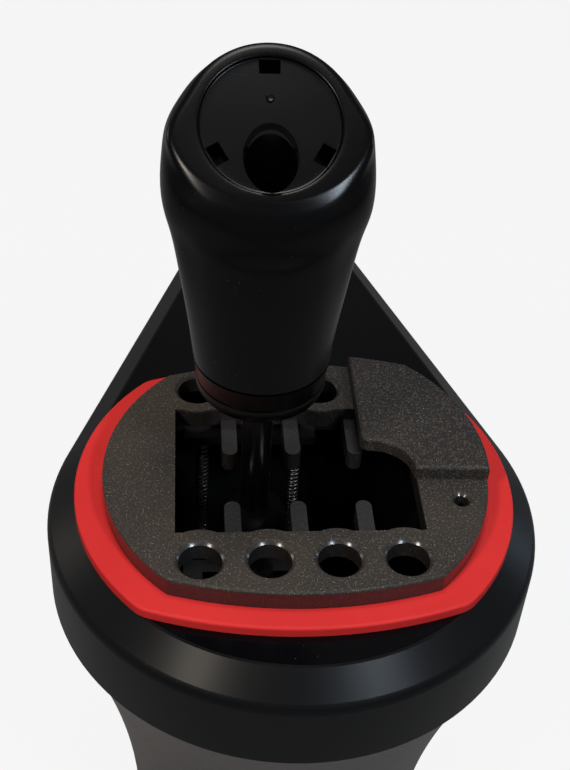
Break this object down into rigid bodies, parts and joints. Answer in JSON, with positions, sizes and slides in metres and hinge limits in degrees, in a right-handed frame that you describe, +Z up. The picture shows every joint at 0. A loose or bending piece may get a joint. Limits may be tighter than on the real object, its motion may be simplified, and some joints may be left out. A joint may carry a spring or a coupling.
{
  "type": "sim racing gear shifter",
  "caption": "H-gate gear shifter with leaning knob, round bevelled housing, tapered metal bowl and a table clamp under its neck",
  "frame": {"origin": "centre of the four mounting threads, on the underside of the base plate", "axes": "X to the driver's right, Y away from the driver along the neck, Z up along the lever at rest"},
  "size_m": [0.1386, 0.2323, 0.2653],
  "materials": {
    "gate_print": "cast metal with a fine-textured charcoal coat and light scratches",
    "ring_red": "red satin lacquer",
    "panel_gloss": "polished black",
    "shell_plastic": "satin black moulding",
    "body_metal": "warm grey satin powder coat",
    "knob_plastic": "satin black moulding with slight sheen",
    "lever_steel": "drawn steel with fine rings",
    "zinc_steel": "zinc plated",
    "black_steel": "blackened steel",
    "spring_steel": "bright spring wire",
    "frame_metal": "machined aluminium",
    "bronze": "sintered bronze",
    "magnet": "nickel plated",
    "board": "green solder mask",
    "connector": "black moulded insulator",
    "socket_metal": "tinned socket shell",
    "rubber": "soft black rubber",
    "inner_plastic": "glass-filled black moulding",
    "arm_metal": "black powder coat"
  },
  "bodies": {
    "housing": {"gate_plate": "gate_print", "trim_ring": "ring_red", "gloss_panel": "panel_gloss", "top_shell": "shell_plastic", "lower_body": "body_metal", "base_plate": "black_steel", "base_screws": "zinc_steel", "shell_screws": "zinc_steel", "plate_carrier": "inner_plastic", "carrier_screws": "zinc_steel", "mech_frame": "frame_metal", "frame_posts": "zinc_steel", "frame_screws": "zinc_steel", "select_bushes": "bronze", "spring_anchor": "black_steel", "select_sensor_board": "board", "main_board": "board", "board_spacers": "inner_plastic", "round_socket": "connector", "usb_socket": "socket_metal", "jaw_plate": "black_steel", "jaw_screws": "zinc_steel", "jaw_pad": "rubber", "clamp_arm": "arm_metal", "arm_bolts": "zinc_steel", "arm_nuts": "zinc_steel", "spindle_nut": "bronze", "centering_spring_left": "spring_steel", "centering_spring_right": "spring_steel"},
    "cradle": {"cradle_yoke": "frame_metal", "shift_bushes": "bronze", "detent_bed": "inner_plastic", "select_pins": "zinc_steel", "select_magnet": "magnet", "centering_rocker": "zinc_steel", "shift_sensor_board": "board"},
    "lever": {"lever_hub": "frame_metal", "hub_screw": "black_steel", "shift_axle": "zinc_steel", "shift_magnet": "magnet", "lever_rod": "lever_steel", "lever_dome": "inner_plastic", "detent_spring": "spring_steel", "knob_collar": "knob_plastic", "knob": "knob_plastic", "knob_washer": "zinc_steel", "knob_bolt": "black_steel"},
    "plunger": {"detent_plunger": "zinc_steel"},
    "clamp_carriage": {"pressure_plate": "black_steel", "pressure_pad": "rubber"},
    "clamp_screw": {"clamp_spindle": "zinc_steel", "hand_wheel": "knob_plastic"}
  },
  "joints": [
    {"name": "select_tilt", "type": "hinge", "parent": "housing", "child": "cradle", "pos_m": [-0.0113, 0, 0.088], "axis": [0, 1, 0], "range_deg": [-14.5, 19.2], "stiffness_Nm_per_rad": 2, "deforming": ["centering_spring_left", "centering_spring_right"]},
    {"name": "shift_tilt", "type": "hinge", "parent": "cradle", "child": "lever", "pos_m": [-0.0113, 0, 0.088], "axis": [1, 0, 0], "range_deg": [-15.5, 15.5]},
    {"name": "detent_slide", "type": "slide", "parent": "lever", "child": "plunger", "axis": [0, 0, 1], "range_m": [0, 0.001], "stiffness_N_per_m": 1500, "springref_m": -0.002, "deforming": ["detent_spring"]},
    {"name": "clamp_slide", "type": "slide", "parent": "housing", "child": "clamp_carriage", "axis": [0, 0, 1], "range_m": [-0.017, 0.007]},
    {"name": "clamp_turn", "type": "hinge", "parent": "clamp_carriage", "child": "clamp_screw", "pos_m": [0, 0.095, 0.05], "axis": [0, 0, 1], "range_deg": [-2041, 841]}
  ],
  "couplings": [
    {"joint": "clamp_turn", "follows": "clamp_slide", "rad_per_m": 2094.4}
  ]
}
